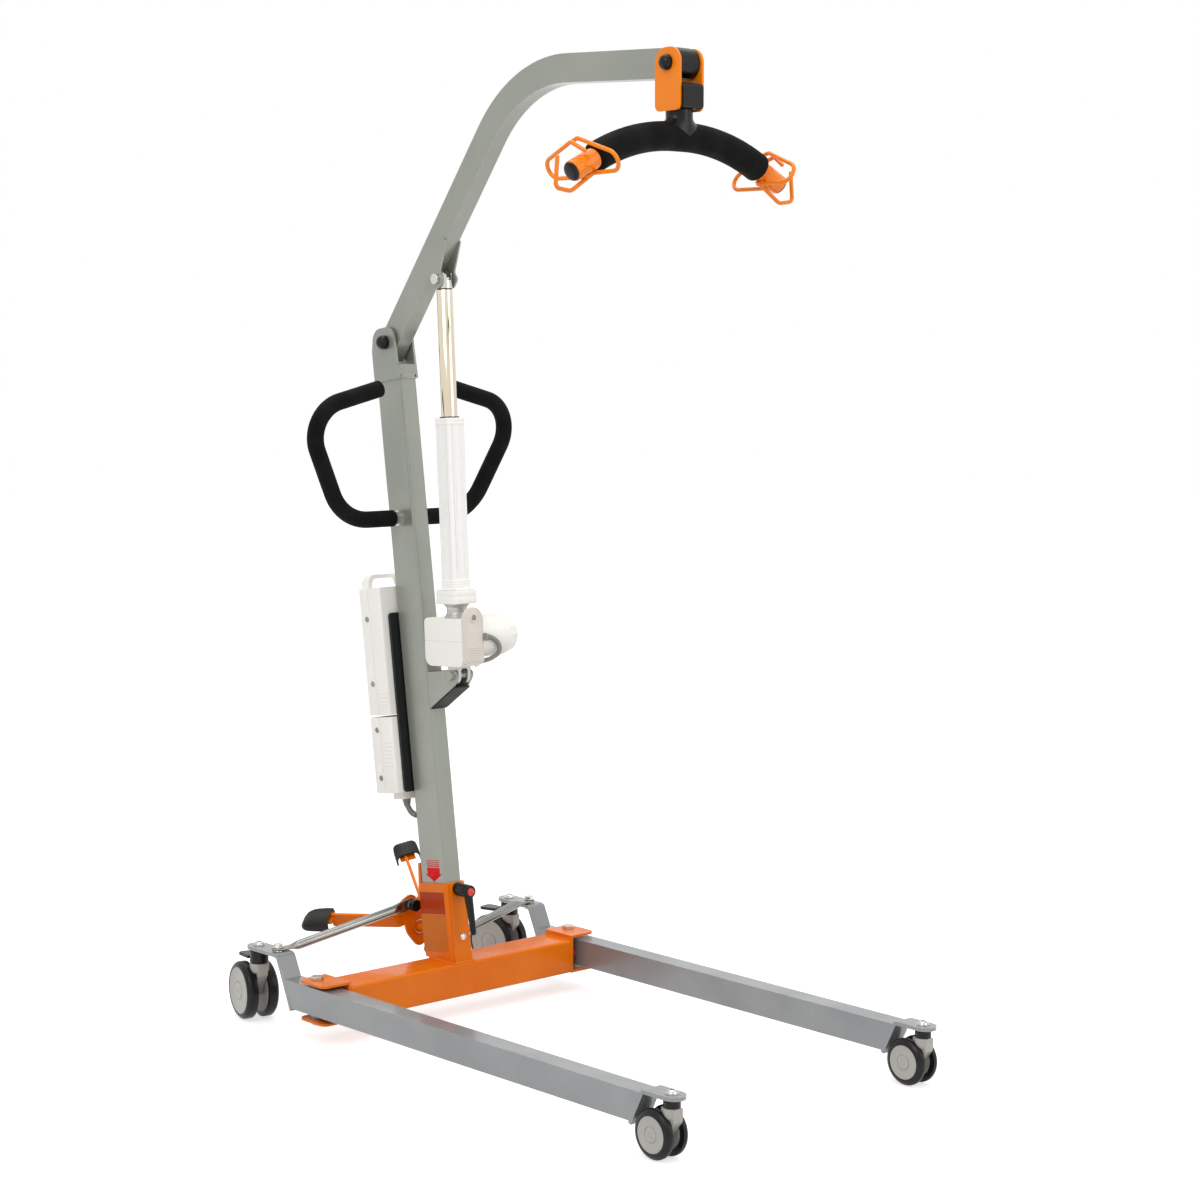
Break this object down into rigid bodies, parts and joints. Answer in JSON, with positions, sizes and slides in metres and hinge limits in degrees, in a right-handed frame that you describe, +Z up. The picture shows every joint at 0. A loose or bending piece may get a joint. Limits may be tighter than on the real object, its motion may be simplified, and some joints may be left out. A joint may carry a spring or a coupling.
{
  "type": "patient lift hoist",
  "caption": "Mobile patient lift: castered U-shaped base with legs that spread, leaning mast, powered boom, hanger and a foam-covered spreader with open sling hooks.",
  "frame": {"origin": "centre of the footprint on the floor", "axes": "+X forward under the spreader, +Y to the hoist's left, +Z up"},
  "size_m": [1.1265, 0.6312, 1.6238],
  "materials": {
    "orange_paint": "gloss",
    "grey_paint": "satin",
    "black_foam": "matte",
    "cream_plastic": "satin",
    "housing_paint": "satin",
    "box_plastic": "satin",
    "dark_plate": "satin",
    "bright_steel": "zinc plated",
    "rod_steel": "polished",
    "cast_aluminium": "cast",
    "dull_steel": "zinc plated",
    "black_plastic": "satin",
    "black_rubber": "matte",
    "lead_grey": "matte",
    "red_rubber": "matte",
    "caster_grey": "satin",
    "hub_grey": "satin",
    "tyre_black": "matte"
  },
  "bodies": {
    "base": {"cross_beam": "orange_paint", "mast_socket": "orange_paint", "pivot_bolts": "bright_steel", "leg_stops": "red_rubber"},
    "clamp": {"clamp_lever": "black_plastic"},
    "mast": {"mast_tube": "grey_paint", "head_bracket": "grey_paint", "head_pin": "bright_steel", "handle_bar": "grey_paint", "handle_grips": "black_foam", "actuator_bracket": "grey_paint", "box_plate": "dark_plate", "control_box": "box_plastic", "control_lead": "lead_grey"},
    "battery": {"battery_case": "box_plastic"},
    "boom": {"boom_tube": "grey_paint", "boom_lugs": "grey_paint", "lug_bolt": "bright_steel", "boom_end_cap": "black_plastic", "hanger_pin": "bright_steel"},
    "rod": {"piston_rod": "rod_steel", "rod_fork": "bright_steel"},
    "actuator": {"actuator_tube": "housing_paint", "tube_collar": "cream_plastic", "gearbox_neck": "cast_aluminium", "gearbox_cover": "cream_plastic", "side_plate": "cream_plastic", "motor_cover": "cream_plastic", "motor_lead": "lead_grey", "clevis": "cast_aluminium"},
    "hanger": {"hanger_bracket": "orange_paint", "hanger_block": "black_plastic"},
    "spreader": {"spreader_neck": "bright_steel", "spreader_bar": "bright_steel", "bar_foam": "black_foam", "end_sleeves": "orange_paint", "sling_hooks": "orange_paint"},
    "pedal": {"pedal_rocker": "orange_paint", "pedal_pads": "black_rubber", "rocker_studs": "bright_steel"},
    "push_rod_right": {"push_rod_right": "dull_steel"},
    "push_rod_left": {"push_rod_left": "dull_steel"},
    "leg_right": {"leg_right": "grey_paint", "leg_bolts_right": "bright_steel"},
    "leg_left": {"leg_left": "grey_paint", "leg_bolts_left": "bright_steel"},
    "caster_front_right": {"fork_front_right": "caster_grey"},
    "wheels_front_right": {"tyres_front_right": "tyre_black", "hubs_front_right": "hub_grey"},
    "caster_front_left": {"fork_front_left": "caster_grey"},
    "wheels_front_left": {"tyres_front_left": "tyre_black", "hubs_front_left": "hub_grey"},
    "caster_rear_right": {"fork_rear_right": "caster_grey"},
    "wheels_rear_right": {"tyres_rear_right": "tyre_black", "hubs_rear_right": "hub_grey"},
    "caster_rear_left": {"fork_rear_left": "caster_grey"},
    "wheels_rear_left": {"tyres_rear_left": "tyre_black", "hubs_rear_left": "hub_grey"},
    "brake_right": {"brake_lever_right": "black_plastic"},
    "brake_left": {"brake_lever_left": "black_plastic"}
  },
  "joints": [
    {"name": "mast_lift", "type": "slide", "parent": "base", "child": "mast", "axis": [-0.134, 0, 0.991], "range_m": [0, 0.14]},
    {"name": "clamp_turn", "type": "hinge", "parent": "base", "child": "clamp", "pos_m": [-0.26271, 0, 0.222], "axis": [1, 0, 0], "range_deg": [-90, 90]},
    {"name": "battery_lift", "type": "slide", "parent": "mast", "child": "battery", "axis": [-0.134, 0, 0.991], "range_m": [0, 0.06]},
    {"name": "boom_lift", "type": "hinge", "parent": "mast", "child": "boom", "pos_m": [-0.45145, 0, 1.16794], "axis": [0, -1, 0], "range_deg": [-69, 0]},
    {"name": "rod_pivot", "type": "hinge", "parent": "boom", "child": "rod", "pos_m": [-0.31213, 0, 1.27464], "axis": [0, -1, 0], "range_deg": [0, 69.03]},
    {"name": "actuator_stroke", "type": "slide", "parent": "rod", "child": "actuator", "axis": [-0.0522, 0, 0.9986], "range_m": [0, 0.1988]},
    {"name": "hanger_swing", "type": "hinge", "parent": "boom", "child": "hanger", "pos_m": [0.2657, 0, 1.58712], "axis": [0, -1, 0], "range_deg": [-5, 85]},
    {"name": "spreader_turn", "type": "hinge", "parent": "hanger", "child": "spreader", "pos_m": [0.2657, 0, 1.52712], "axis": [0, 0, 1], "continuous": true},
    {"name": "leg_right_swing", "type": "hinge", "parent": "base", "child": "leg_right", "pos_m": [-0.31271, -0.28, 0.07], "axis": [0, 0, 1], "range_deg": [-17.72, 0]},
    {"name": "leg_left_swing", "type": "hinge", "parent": "base", "child": "leg_left", "pos_m": [-0.31271, 0.28, 0.07], "axis": [0, 0, 1], "range_deg": [0, 17.72]},
    {"name": "pedal_rock", "type": "hinge", "parent": "base", "child": "pedal", "pos_m": [-0.37271, 0, 0.137], "axis": [-1, 0, 0], "range_deg": [0, 42]},
    {"name": "push_rod_right_turn", "type": "hinge", "parent": "leg_right", "child": "push_rod_right", "pos_m": [-0.4247, -0.28098, 0.1361], "axis": [0, 0, 1], "range_deg": [0, 18.82]},
    {"name": "push_rod_left_turn", "type": "hinge", "parent": "leg_left", "child": "push_rod_left", "pos_m": [-0.4247, 0.28098, 0.1361], "axis": [0, 0, 1], "range_deg": [-18.82, 0]},
    {"name": "swivel_front_right", "type": "hinge", "parent": "leg_right", "child": "caster_front_right", "pos_m": [0.54126, -0.27255, 0.079], "axis": [0, 0, 1], "continuous": true},
    {"name": "roll_front_right", "type": "hinge", "parent": "caster_front_right", "child": "wheels_front_right", "pos_m": [0.51926, -0.27255, 0.0375], "axis": [0, 1, 0], "continuous": true},
    {"name": "swivel_front_left", "type": "hinge", "parent": "leg_left", "child": "caster_front_left", "pos_m": [0.54126, 0.27255, 0.079], "axis": [0, 0, 1], "continuous": true},
    {"name": "roll_front_left", "type": "hinge", "parent": "caster_front_left", "child": "wheels_front_left", "pos_m": [0.51926, 0.27255, 0.0375], "axis": [0, 1, 0], "continuous": true},
    {"name": "swivel_rear_right", "type": "hinge", "parent": "leg_right", "child": "caster_rear_right", "pos_m": [-0.4817, -0.28147, 0.102], "axis": [0, 0, 1], "continuous": true},
    {"name": "roll_rear_right", "type": "hinge", "parent": "caster_rear_right", "child": "wheels_rear_right", "pos_m": [-0.50811, -0.27586, 0.05], "axis": [0.2079, 0.9781, 0], "continuous": true},
    {"name": "brake_right_press", "type": "hinge", "parent": "caster_rear_right", "child": "brake_right", "pos_m": [-0.50127, -0.27732, 0.099], "axis": [-0.2079, -0.9781, 0], "range_deg": [0, 8]},
    {"name": "swivel_rear_left", "type": "hinge", "parent": "leg_left", "child": "caster_rear_left", "pos_m": [-0.4817, 0.28147, 0.102], "axis": [0, 0, 1], "continuous": true},
    {"name": "roll_rear_left", "type": "hinge", "parent": "caster_rear_left", "child": "wheels_rear_left", "pos_m": [-0.50811, 0.27586, 0.05], "axis": [-0.2079, 0.9781, 0], "continuous": true},
    {"name": "brake_left_press", "type": "hinge", "parent": "caster_rear_left", "child": "brake_left", "pos_m": [-0.50127, 0.27732, 0.099], "axis": [0.2079, -0.9781, 0], "range_deg": [0, 8]}
  ],
  "couplings": [
    {"joint": "rod_pivot", "follows": "boom_lift", "ratio": -1.0003},
    {"joint": "actuator_stroke", "follows": "boom_lift", "m_per_rad": -0.16506},
    {"joint": "leg_left_swing", "follows": "leg_right_swing", "ratio": -1},
    {"joint": "pedal_rock", "follows": "leg_right_swing", "ratio": -2.3703},
    {"joint": "push_rod_right_turn", "follows": "leg_right_swing", "ratio": -1.0615},
    {"joint": "push_rod_left_turn", "follows": "leg_right_swing", "ratio": 1.0615}
  ]
}
